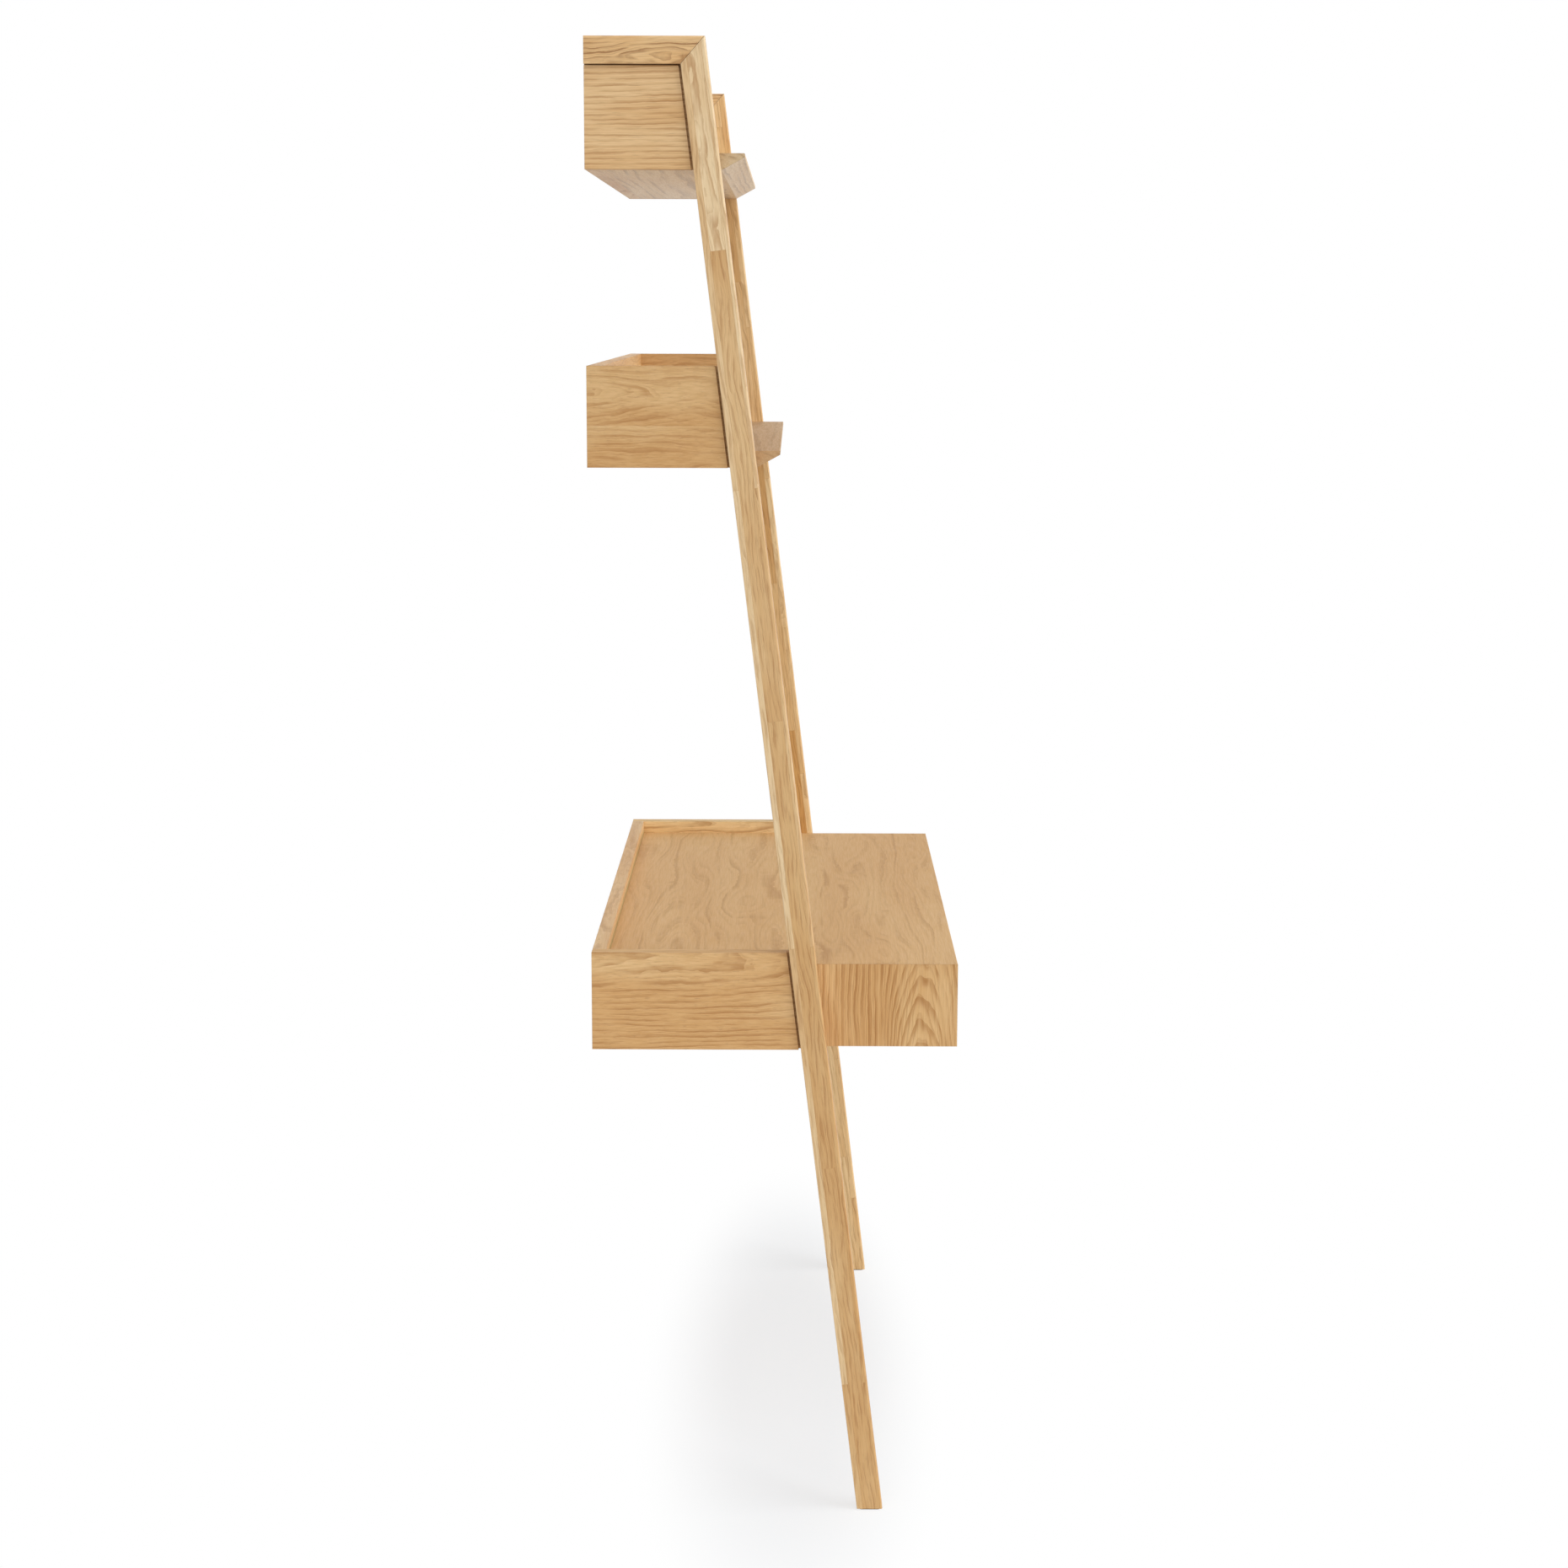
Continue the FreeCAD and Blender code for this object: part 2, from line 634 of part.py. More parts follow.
slide_length = f"({box_length} - slide_setback)"
slide_depth = "(slide_space - slide_wall - slide_web_gap)"
travel = f"({slide_length} - slide_overlap)"
track = "(slide_wall + ball_diameter + 2 * ball_clearance)"
inner_high = f"(slide_height - {track})"
cage_face = "(slide_wall + cage_clearance)"
inner_tip = f"({cage_face} + cage_wall + cage_clearance)"

outer_slide = prism("outer_slide", "XZ_Plane", [([
    ("0", "0"),
    (slide_depth, "0"),
    (slide_depth, "slide_wall + slide_lip"),
    (f"{slide_depth} - slide_wall", "slide_wall + slide_lip"),
    (f"{slide_depth} - slide_wall", "slide_wall"),
    ("slide_wall", "slide_wall"),
    ("slide_wall", "slide_height - slide_wall"),
    (f"{slide_depth} - slide_wall", "slide_height - slide_wall"),
    (f"{slide_depth} - slide_wall", "slide_height - slide_wall - slide_lip"),
    (slide_depth, "slide_height - slide_wall - slide_lip"),
    (slide_depth, "slide_height"),
    ("0", "slide_height"),
], slide_length)], x=bay_left, reach=box_start, height=slide_level)

inner_slide = prism("inner_slide", "XZ_Plane", [([
    (inner_tip, track),
    ("slide_space", track),
    ("slide_space", inner_high),
    (inner_tip, inner_high),
    (inner_tip, f"{inner_high} - slide_wall"),
    ("slide_space - slide_wall", f"{inner_high} - slide_wall"),
    ("slide_space - slide_wall", f"{track} + slide_wall"),
    (inner_tip, f"{track} + slide_wall"),
], slide_length)], x=bay_left, reach=box_start, height=slide_level)

wing = "(slide_wall + ball_clearance + ball_diameter / 2)"
wing_low = f"({wing} - cage_wing / 2)"
wing_high = f"(slide_height - {wing_low})"
wing_tip = f"({slide_depth} - slide_wall - cage_clearance)"
cage = prism("ball_cage", "XZ_Plane", [([
    (cage_face, wing_low),
    (wing_tip, wing_low),
    (wing_tip, f"{wing_low} + cage_wing"),
    (f"{cage_face} + cage_wall", f"{wing_low} + cage_wing"),
    (f"{cage_face} + cage_wall", f"{wing_high} - cage_wing"),
    (wing_tip, f"{wing_high} - cage_wing"),
    (wing_tip, wing_high),
    (cage_face, wing_high),
], "slide_overlap")], x=bay_left, reach=f"{box_start} + {travel} / 2", height=slide_level)

for name, member in (("outer_slides", outer_slide), ("inner_slides", inner_slide), ("ball_cages", cage)):
    opposite = mirrored(f"{name}_opposite", member, bay_centre)
    keep_pair(f"drawer_{name}", group(f"left_drawer_{name}", [member, opposite]))

# Fastenings that repeat share a piece

keep("panel_tongues", both_sides("panel_tongues", panel_tongues))
keep("corner_tongues", both_sides("corner_tongues", list(corner_tongues.values())))
keep("rail_tongues", both_sides("rail_tongues", [rail_tongue]))
keep("shelf_tongues", both_sides("shelf_tongues", shelf_tongues))
keep("back_tongues", group("back_tongues", list(back_tongues.values())))
keep("shelf_cams", both_sides("shelf_cams", cams))
keep("shelf_cam_pins", both_sides("shelf_cam_pins", pins))
keep("case_bolts", both_sides("case_bolts", bolts))
keep("case_inserts", both_sides("case_inserts", inserts))

doc.recompute()

# Check every object, then write the pieces

for item in doc.Objects:
    if "Invalid" in item.State or "Error" in item.State:
        raise RuntimeError(f"{item.Label} failed: {item.State}")
for label, item in pieces.items():
    if item.Shape.isNull() or not item.Shape.isValid() or not item.Shape.Solids:
        raise RuntimeError(f"{label} has no valid solid")

os.makedirs("parts", exist_ok=True)
for label, item in pieces.items():
    item.Shape.exportStep(f"parts/{label}.step")
print(f"{len(pieces)} pieces, {sum(len(item.Shape.Solids) for item in pieces.values())} solids")
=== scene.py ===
import math

import bmesh
import bpy
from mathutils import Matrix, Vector


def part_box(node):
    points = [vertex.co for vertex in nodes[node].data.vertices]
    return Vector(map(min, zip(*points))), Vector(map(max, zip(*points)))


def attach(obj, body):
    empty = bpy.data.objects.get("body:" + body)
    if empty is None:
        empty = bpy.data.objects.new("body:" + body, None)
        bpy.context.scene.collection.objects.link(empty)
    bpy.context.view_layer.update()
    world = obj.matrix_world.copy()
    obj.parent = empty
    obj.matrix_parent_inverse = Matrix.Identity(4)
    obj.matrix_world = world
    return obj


# Ladder desk in satin oak, leaning to a wall at +Y. The boards are the CAD nodes: this script gives them
# their woods and metals, adds the screws of the drawer slides, and sets up the studio.

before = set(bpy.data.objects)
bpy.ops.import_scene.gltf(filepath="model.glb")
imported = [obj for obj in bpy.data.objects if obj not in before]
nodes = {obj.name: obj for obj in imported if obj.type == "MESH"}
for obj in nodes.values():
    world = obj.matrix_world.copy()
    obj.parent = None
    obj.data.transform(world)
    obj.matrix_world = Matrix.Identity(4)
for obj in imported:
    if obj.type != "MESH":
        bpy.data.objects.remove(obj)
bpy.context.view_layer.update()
sides = (("left", -1), ("right", 1))
print("frame loaded:", len(nodes), "nodes")


# Small helpers

def linear(colour):
    parts = [int(colour[i:i + 2], 16) / 255 for i in (1, 3, 5)]
    return tuple(p / 12.92 if p <= 0.04045 else ((p + 0.055) / 1.055) ** 2.4 for p in parts) + (1.0,)


def metres(values):
    return tuple(v / 1000 for v in values)


def radians(degrees):
    return tuple(math.radians(d) for d in degrees)


def mirrored(place, sign):
    return (sign * place[0], place[1], place[2])


def addNode(tree, kind, inputs=None, **settings):
    node = tree.nodes.new(f"ShaderNode{kind}")
    for name, setting in settings.items():
        setattr(node, name, setting)
    for socket, source in (inputs or {}).items():
        if isinstance(source, bpy.types.NodeSocket):
            tree.links.new(source, node.inputs[socket])
        else:
            node.inputs[socket].default_value = source
    return node.outputs


def newMaterial(name):
    material = bpy.data.materials.new(name)
    material.use_nodes = True
    material.node_tree.nodes.clear()
    return material, material.node_tree


def paint(material, *names):
    for name in names:
        nodes[name].material_slots[0].material = material


# Woods. Each board is cut from a log whose growth rings lie round a pith line, so its faces show cathedrals
# or straight lines and its ends show ring arcs. The pith runs along the log's X axis. Lengths are in mm.

satinOak = {                # clear matt lacquer over oak: pale honey, darker broken ring lines, open pores
    "light": "#E0BA86", "middle": "#D1A66D", "dark": "#A8743A", "pore": "#8C6236", "shade": "#E4C9A0",
    "ring": 8.0, "ringShare": 0.6, "ringFrom": 0.45, "lineTo": 0.95,
    "fineRings": 2.7, "fineShare": 0.25, "fineFrom": 0.45,      # this many finer lines to a ring
    "breakLength": 70.0, "breakRings": 1.5, "breakFrom": 0.3, "breakTo": 0.62,
    "swayLength": 260.0, "swayWidth": 45.0, "swayDepth": 9.0, "swayDetail": 3.0,
    "shadeLonger": 1.6, "shadeWider": 1.3, "shadeShare": 0.5,   # compared with the sway
    "fibreLength": 45.0, "fibreWidth": 1.6, "fibreShare": 0.6,  # fibres are finer; drawn as coarse as shows
    "poreLength": 22.0, "poreWidth": 0.9, "poreShare": 0.3,     # pores are 0.3 mm wide; drawn coarser too
    "ringHollow": 0.5, "hollowDepth": 0.2, "hollowShare": 0.3,
    "rough": (0.55, 0.68), "lacquerIor": 1.45, "arris": 0.8,
}


def woodMaterial(name, recipe):
    wood = {**satinOak, **recipe}
    material, tree = newMaterial(name)
    where = addNode(tree, "TexCoord")["Object"]
    log = addNode(tree, "Mapping", {"Vector": where, "Location": metres(wood["pith"]),
                                    "Rotation": radians(wood["turn"])}, vector_type="TEXTURE")[0]

    if "leaf" in wood:      # veneer leaves side by side, each the mirror image of its neighbour
        leaf = wood["leaf"] / 1000
        split = addNode(tree, "SeparateXYZ", {0: log})
        shifted = addNode(tree, "Math", {0: split["Y"], 1: leaf / 2}, operation="ADD")[0]
        folded = addNode(tree, "Math", {0: shifted, 1: leaf}, operation="PINGPONG")[0]
        across = addNode(tree, "Math", {0: folded, 1: leaf / 2}, operation="SUBTRACT")[0]
        log = addNode(tree, "CombineXYZ", {"X": split["X"], "Y": across, "Z": split["Z"]})[0]

    if "strip" in wood:     # below a seam the board carries a strip from another part of the log
        strip = wood["strip"]
        height = addNode(tree, "SeparateXYZ", {0: log})["Z"]
        below = addNode(tree, "Math", {0: height, 1: strip["seam"] / 1000}, operation="LESS_THAN")[0]
        log = addNode(tree, "VectorMath", {0: below, 1: metres(strip["jump"]), 2: log},
                      operation="MULTIPLY_ADD")[0]

    if "blocks" in wood:    # short lengths joined end to end by glued fingers, in staves side by side
        run = wood["blocks"]
        split = addNode(tree, "SeparateXYZ", {0: log})
        finger = addNode(tree, "Math", {0: split["Z"], 1: run["fingerPitch"] / 2000}, operation="PINGPONG")[0]
        zigzag = 2 * run["fingerLength"] / run["fingerPitch"]
        along = addNode(tree, "Math", {0: finger, 1: zigzag, 2: split["X"]}, operation="MULTIPLY_ADD")[0]
        start = run["start"] - run["firstBlock"] * run["length"]    # first block and stave settle the tones
        seam = run["seam"] - run["firstStave"] * run["stave"]
        fromStart = addNode(tree, "Math", {0: along, 1: start / 1000}, operation="SUBTRACT")[0]
        fromSeam = addNode(tree, "Math", {0: split["Y"], 1: seam / 1000}, operation="SUBTRACT")[0]
        flat = addNode(tree, "CombineXYZ", {"X": fromStart, "Y": fromSeam})[0]
        blocks = addNode(tree, "TexBrick", {
            "Vector": flat, "Color1": (0, 0, 0, 1), "Color2": (1, 1, 1, 1), "Mortar": (0.5, 0.5, 0.5, 1),
            "Scale": 1.0, "Mortar Size": run["glue"] / 1000, "Mortar Smooth": 0.2,
            "Brick Width": run["length"] / 1000, "Row Height": run["stave"] / 1000}, offset=run["stagger"])
        log = addNode(tree, "VectorMath", {0: blocks["Color"], 1: metres(run["jump"]), 2: log},
                      operation="MULTIPLY_ADD")[0]

    # soft streaks along the grain, each with the part of its noise that counts
    streaks = {
        "fibre": {"length": wood["fibreLength"], "width": wood["fibreWidth"], "detail": 3.0,
                  "from": 0.3, "to": 0.7},
        "pores": {"length": wood["poreLength"], "width": wood["poreWidth"], "detail": 2.0,
                  "from": 0.56, "to": 0.72},
        "shade": {"length": wood["swayLength"] * wood["shadeLonger"],
                  "width": wood["swayWidth"] * wood["shadeWider"], "detail": 2.0, "from": 0.35, "to": 0.65},
        "breaks": {"length": wood["breakLength"], "width": wood["ring"] * wood["breakRings"], "detail": 2.0,
                   "from": wood["breakFrom"], "to": wood["breakTo"]},
    }
    mask = {}
    for streak, look in streaks.items():
        lengthwise, crosswise = 1000 / look["length"], 1000 / look["width"]
        stretched = addNode(tree, "Mapping", {"Vector": log, "Scale": (lengthwise, crosswise, crosswise)})[0]
        noise = addNode(tree, "TexNoise", {"Vector": stretched, "Scale": 1.0, "Detail": look["detail"]})[0]
        mask[streak] = addNode(tree, "MapRange", {
            "Value": noise, "From Min": look["from"], "From Max": look["to"]},
            interpolation_type="SMOOTHSTEP")[0]

    # growth rings that sway slowly along the log, with finer lines between them
    lengthwise, crosswise = 1000 / wood["swayLength"], 1000 / wood["swayWidth"]
    stretched = addNode(tree, "Mapping", {"Vector": log, "Scale": (lengthwise, crosswise, crosswise)})[0]
    sway = addNode(tree, "TexNoise", {"Vector": stretched, "Scale": 1.0,
                                      "Detail": wood["swayDetail"]})["Color"]
    centred = addNode(tree, "VectorMath", {0: sway, 1: (0.5, 0.5, 0.5)}, operation="SUBTRACT")[0]
    reach = 4 * wood["swayDepth"] / 1000            # noise strays about a quarter from its middle
    bent = addNode(tree, "VectorMath", {0: centred, 1: (0.0, reach, reach), 2: log},
                   operation="MULTIPLY_ADD")[0]
    ringTurns = 2000 * math.pi / wood["ring"]       # radians of ring pattern in a metre
    taper = 0.0
    if "taper" in wood:     # near the pith the rings narrow along the log, so their lines close in arches
        split = addNode(tree, "SeparateXYZ", {0: bent})
        aside = addNode(tree, "Math", {0: split["Y"]}, operation="ABSOLUTE")[0]
        width = wood["taperWidth"] / 1000           # at its full slope within a third of this
        slope = addNode(tree, "MapRange", {
            "Value": aside, "From Min": width / 3, "From Max": width,
            "To Min": wood["taper"] * ringTurns, "To Max": 0.0}, interpolation_type="SMOOTHSTEP")[0]
        taper = addNode(tree, "Math", {0: slope, 1: split["X"]}, operation="MULTIPLY")[0]
    lines = {"ring": {"finer": 1.0, "from": wood["ringFrom"]},
             "fine": {"finer": wood["fineRings"], "from": wood["fineFrom"]}}
    for line, look in lines.items():
        wave = addNode(tree, "TexWave", {
            "Vector": bent, "Scale": look["finer"] * ringTurns / 20,    # a wave turns 20 radians in a unit
            "Distortion": 1.0, "Detail": 2.0, "Detail Scale": 1.5, "Phase Offset": taper},
            wave_type="RINGS", rings_direction="X", wave_profile="SAW")["Fac"]
        band = addNode(tree, "MapRange", {
            "Value": wave, "From Min": look["from"], "From Max": wood["lineTo"]},
            interpolation_type="SMOOTHSTEP")[0]
        mask[line] = addNode(tree, "Math", {0: band, 1: mask["breaks"]}, operation="MULTIPLY")[0]

    # colours laid one over another
    layers = [("fibre", wood["fibreShare"], wood["middle"], "MIX"),
              ("ring", wood["ringShare"], wood["dark"], "MIX"),
              ("fine", wood["fineShare"], wood["dark"], "MIX"),
              ("shade", wood["shadeShare"], wood["shade"], "MULTIPLY"),
              ("pores", wood["poreShare"], wood["pore"], "MIX")]
    if "blocks" in wood:
        mask["block"] = blocks["Color"]
        mask["glue"] = blocks["Fac"]
        layers += [("block", run["toneShare"], run["tone"], "MULTIPLY"),
                   ("glue", run["glueShare"], wood["dark"], "MIX")]
    if "ends" in wood:      # painted shade: the cut ends a little darker and cooler than the faces
        fromMiddle = addNode(tree, "SeparateXYZ", {0: where})["X"]
        reached = addNode(tree, "Math", {0: fromMiddle}, operation="ABSOLUTE")[0]
        mask["ends"] = addNode(tree, "Math", {0: reached, 1: wood["ends"]["from"] / 1000},
                               operation="GREATER_THAN")[0]
        layers.append(("ends", 1.0, wood["ends"]["tone"], "MULTIPLY"))
    if "corner" in wood:    # painted shade, darkest at the foot of the rim's inner face in the corner
        corner = wood["corner"]
        split = addNode(tree, "SeparateXYZ", {0: where})
        inside = addNode(tree, "Math", {0: split["Y"], 1: corner["face"] / 1000}, operation="LESS_THAN")[0]
        low = addNode(tree, "MapRange", {
            "Value": split["Z"], "From Min": corner["foot"] / 1000,
            "From Max": (corner["foot"] + corner["height"]) / 1000,
            "To Min": 1.0, "To Max": 0.0}, interpolation_type="SMOOTHSTEP")[0]
        mask["corner"] = addNode(tree, "Math", {0: inside, 1: low}, operation="MULTIPLY")[0]
        layers.append(("corner", 1.0, corner["tone"], "MULTIPLY"))
    colour = linear(wood["light"])
    for layer, share, tint, how in layers:
        amount = addNode(tree, "Math", {0: mask[layer], 1: share}, operation="MULTIPLY")[0]
        colour = addNode(tree, "Mix", {0: amount, 6: colour, 7: linear(tint)},
                         data_type="RGBA", blend_type=how)[2]

    softEdge = addNode(tree, "Bevel", {"Radius": wood["arris"] / 1000}, samples=4)[0]
    hollows = addNode(tree, "Math", {0: mask["ring"], 1: wood["ringHollow"], 2: mask["pores"]},
                      operation="MULTIPLY_ADD")[0]
    normal = addNode(tree, "Bump", {"Height": hollows, "Strength": wood["hollowShare"],
                                    "Distance": wood["hollowDepth"] / 1000, "Normal": softEdge},
                     invert=True)[0]
    smoothest, roughest = wood["rough"]
    rough = addNode(tree, "MapRange", {"Value": mask["fibre"], "To Min": smoothest, "To Max": roughest})[0]
    shader = addNode(tree, "BsdfPrincipled", {"Base Color": colour, "Roughness": rough,
                                              "IOR": wood["lacquerIor"], "Normal": normal})[0]
    addNode(tree, "OutputMaterial", {"Surface": shader})
    return material


# Oak veneer on the side boards. Splay turns the pith in plan and dip turns it down towards the wall.

sideBoards = {
    "top_panel": {"pith": (485, 170, 2080), "dip": 1, "light": "#E5C393", "middle": "#D8B17D", "ring": 7.0,
                  "swayDepth": 5.0},
    "middle_panel": {"pith": (478, 150, 1490), "splay": 5, "light": "#DAB480", "middle": "#CAA068",
                     "ring": 9.0, "ringShare": 0.5, "swayLength": 150.0, "swayWidth": 60.0,
                     "breakLength": 90.0, "strip": {"seam": -40.0, "jump": (900.0, 0.0, -260.0)}},
    "desk_panel": {"pith": (478, 240, 756), "splay": 4, "swayDepth": 6.0, "ring": 7.5},
    "case_side": {"pith": (446, -195, 748), "turn": (0, -90, 0), "light": "#DEB782", "middle": "#CFA369",
                  "taper": 0.26, "taperWidth": 60.0, "swayLength": 160.0, "swayDepth": 4.5,
                  "ringShare": 0.7, "ringFrom": 0.35, "fineShare": 0.45,
                  "breakLength": 120.0, "breakFrom": 0.22},
}
# the right desk panel's tints are painted light on its inner face, which stands in the corner's shade
rightBoards = {"shift": (0, 31, 7), "desk_panel": {"light": "#F0D6A5", "middle": "#E6C58E"}}
for board, recipe in sideBoards.items():
    for side, sign in sides:
        pith, tints = recipe["pith"], {}
        if side == "right":     # another leaf of the same veneer; its desk panel painted lighter
            pith = [place + move for place, move in zip(pith, rightBoards["shift"])]
            tints = rightBoards.get(board, {})
        along = (0, recipe.get("dip", 0), 90 - sign * recipe.get("splay", 0))
        oak = {"turn": along, **recipe, **tints, "pith": mirrored(pith, sign)}
        paint(woodMaterial(f"{side}_{board}_oak", oak), f"{side}_{board}")

# Oak veneer on the boards that run across

crossBoards = {
    "top_shelf": {"pith": (0, 105, 1650), "turn": (0, 0, 0), "light": "#E9CCA0", "middle": "#DBB989",
                  "dark": "#AE8A5E", "swayLength": 700.0, "swayWidth": 60.0, "swayDepth": 6.0,
                  "fineShare": 0.1, "breakLength": 400.0, "rough": (0.4, 0.5),
                  # painted shade on the shelf's cut ends
                  "ends": {"from": 474.5, "tone": "#E2E8F2"}},
    "middle_shelf": {"pith": (60, 60, 1270), "turn": (0, 0, 0), "light": "#C8A982", "middle": "#BA986E",
                     "dark": "#9A784F", "swayLength": 700.0, "swayWidth": 60.0, "swayDepth": 6.0,
                     "ringShare": 0.4, "fineShare": 0.1, "breakLength": 400.0},
    "desk_top": {"pith": (0, -10, 100), "turn": (0, 0, 0), "light": "#DBB47F", "middle": "#CCA067",
                 "ring": 7.0, "ringShare": 0.32, "ringFrom": 0.65, "fineShare": 0.18,
                 "swayLength": 420.0, "swayWidth": 75.0, "swayDepth": 10.0, "swayDetail": 1.5,
                 "shadeShare": 0.25, "fibreShare": 0.35, "poreShare": 0.15, "breakLength": 220.0},
    "case_floor": {"pith": (0, 60, 350), "turn": (0, 0, 0), "leaf": 212.0, "swayWidth": 70.0},
    "case_divider": {"pith": (0, -60, 640), "turn": (0, -84, 0)},
    "top_back_panel": {"pith": (0, 232, 2090), "turn": (0, 0.6, 0)},
    "middle_back_panel": {"pith": (0, 232, 1230), "turn": (0, -0.6, 0)},
    "desk_back_panel": {"pith": (-80, 226, 700), "turn": (0, 0, 1.2), "light": "#E4C191", "middle": "#D6B07C",
                        "rough": (0.47, 0.57),
                        # painted shade along the foot of the rim's inner face, where it meets the desk top
                        "corner": {"face": 222.5, "foot": 748.0, "height": 12.0, "tone": "#C4D3BF"}},
}
calmOak = {"ringShare": 0.4, "fibreShare": 0.35, "poreShare": 0.1, "breakLength": 200.0, "rough": (0.4, 0.5)}
for board, recipe in crossBoards.items():
    calm = calmOak if board.endswith("back_panel") else {}
    paint(woodMaterial(f"{board}_oak", {**calm, **recipe}), board)
drawerFronts = {"pith": (60, -228, 676), "turn": (0, 0, 0), "taper": 0.05, "taperWidth": 70.0,
                "swayDepth": 5.0}
paint(woodMaterial("drawer_front_oak", drawerFronts), "left_drawer_front", "right_drawer_front")
print("veneers laid on", 2 * len(sideBoards) + len(crossBoards) + 2, "boards")

# Solid oak: uprights of short blocks joined end to end, and rails of one length with a lively figure

lean = 6.95                 # degrees
uprightOak = {"pith": (487.5, -129, 0), "turn": (-90, lean - 90, 90), "light": "#E9D0A7", "middle": "#DDBE8F",
              "ring": 5.0, "ringShare": 0.45, "swayDepth": 7.0, "swayLength": 160.0, "breakLength": 40.0,
              "rough": (0.36, 0.46)}
# The right upright is lighter: partly paler wood, partly painted light lifting its inner face out of the near
# frame's shade
uprightTints = {"left": {}, "right": {"light": "#F2D6A6", "middle": "#E6C48F"}}     # right: partly painted light
uprightBlocks = {"stave": 20.0, "glue": 0.2, "fingerPitch": 4.0, "fingerLength": 10.0,
                 "jump": (3100.0, 170.0, 90.0), "tone": "#D7AD46", "glueShare": 0.3}
blockRuns = {               # a joint lies at the start, measured from the floor along the lean
    "left": {"length": 600.0, "seam": 9.0, "stagger": 0.5, "start": 483.0, "firstBlock": 265,
             "firstStave": 1306, "toneShare": 0.9},
    "right": {"length": 241.8, "seam": 12.0, "stagger": 0.3, "start": 201.5, "firstBlock": 494,
              "firstStave": 1662, "toneShare": 0.72},
}
railOak = {"pith": (482.6, 205, 1897), "turn": (0, 3, 90), "light": "#E4BF8B", "middle": "#D5A970",
           "dark": "#8F5F2E", "ring": 5.0, "ringShare": 0.85, "ringFrom": 0.5, "fineShare": 0.45,
           "swayLength": 120.0, "swayDepth": 7.0, "rough": (0.36, 0.46)}
for side, sign in sides:
    upright = {**uprightOak, **uprightTints[side], "pith": mirrored(uprightOak["pith"], sign),
               "blocks": {**uprightBlocks, **blockRuns[side]}}
    paint(woodMaterial(f"{side}_upright_oak", upright), f"{side}_upright")
    rail = {**railOak, "pith": mirrored(railOak["pith"], sign)}
    paint(woodMaterial(f"{side}_rail_oak", rail), f"{side}_top_rail")

# Inside woods: sealed pale drawer boards, birch ply bottoms, beech tongues

drawerWood = {"light": "#E4CDA4", "middle": "#DABF92", "dark": "#C39B66", "pore": "#B58F60", "ringShare": 0.5,
              "rough": (0.55, 0.65), "poreShare": 0.12}
drawerSides = {**drawerWood, "pith": (232, 0, 860), "turn": (0, 1, 90)}
drawerBacks = {**drawerWood, "pith": (200, 140, 640), "turn": (0, 1, 0)}
birchPly = {"pith": (230, 0, 640), "turn": (0, 3, 0), "light": "#E6D0A9", "middle": "#DEC598",
            "dark": "#C9A673", "pore": "#C2A070", "ringShare": 0.35, "rough": (0.55, 0.65),
            "poreShare": 0.08, "ring": 16.0, "swayLength": 120.0, "swayDepth": 22.0}
beech = {"pith": (0, 0, 0), "turn": (0, 4, 0), "light": "#DDBB8E", "middle": "#D2AD7D", "dark": "#BF9160",
         "pore": "#A97C4E", "rough": (0.55, 0.65)}
drawerBoards = {
    "drawer_side_wood": (drawerSides, ("drawer_outer_side", "drawer_inner_side")),
    "drawer_back_wood": (drawerBacks, ("drawer_back",)),
    "drawer_ply": (birchPly, ("drawer_bottom",)),
}
for side, sign in sides:
    for kind, (recipe, boards) in drawerBoards.items():
        wood = {**recipe, "pith": mirrored(recipe["pith"], sign)}
        paint(woodMaterial(f"{side}_{kind}", wood), *(f"{side}_{board}" for board in boards))
strips = [name for name in nodes if name.endswith("tongues") or name.endswith("splines")]
paint(woodMaterial("beech_strip", beech), *strips)
print("solid woods done,", len(strips), "sets of strips in beech")


# Metals and felt

def metalMaterial(name, recipe):
    material, tree = newMaterial(name)
    where = addNode(tree, "TexCoord")["Object"]
    cloud = addNode(tree, "TexNoise", {"Vector": where, "Scale": 1000 / recipe["grain"], "Detail": 4.0})[0]
    tint = addNode(tree, "Mix", {0: cloud, 6: linear(recipe["dull"]), 7: linear(recipe["bright"])},
                   data_type="RGBA")[2]
    smoothest, roughest = recipe["rough"]
    polish = addNode(tree, "MapRange", {"Value": cloud, "From Min": 0.3, "From Max": 0.7,
                                        "To Min": smoothest, "To Max": roughest})[0]
    normal = addNode(tree, "Bump", {"Height": cloud, "Strength": recipe["bump"],
                                    "Distance": recipe["depth"] / 1000})[0]
    shader = addNode(tree, "BsdfPrincipled", {"Base Color": tint, "Metallic": 1.0, "Roughness": polish,
                                              "Normal": normal})[0]
    addNode(tree, "OutputMaterial", {"Surface": shader})
    return material


# zinc-plated pressed steel: bright, slightly blue, with a soft rolled cloudiness
platedSteel = {"dull": "#B2B6BA", "bright": "#C4C7CA", "rough": (0.28, 0.38), "grain": 25.0, "bump": 0.03,
               "depth": 0.2}
# die-cast zinc: duller and greyer, with a fine cast grain
castZinc = {"dull": "#A9AAAA", "bright": "#BDBDBB", "rough": (0.4, 0.55), "grain": 2.0, "bump": 0.2,
            "depth": 0.2}
steel = metalMaterial("zinc_plated_steel", platedSteel)
slides = [name for name in nodes if name.endswith("_slides") or name.endswith("_cages")]
paint(steel, *slides, "case_bolts", "shelf_cam_pins")
paint(metalMaterial("die_cast_zinc", castZinc), "shelf_cams", "case_inserts")

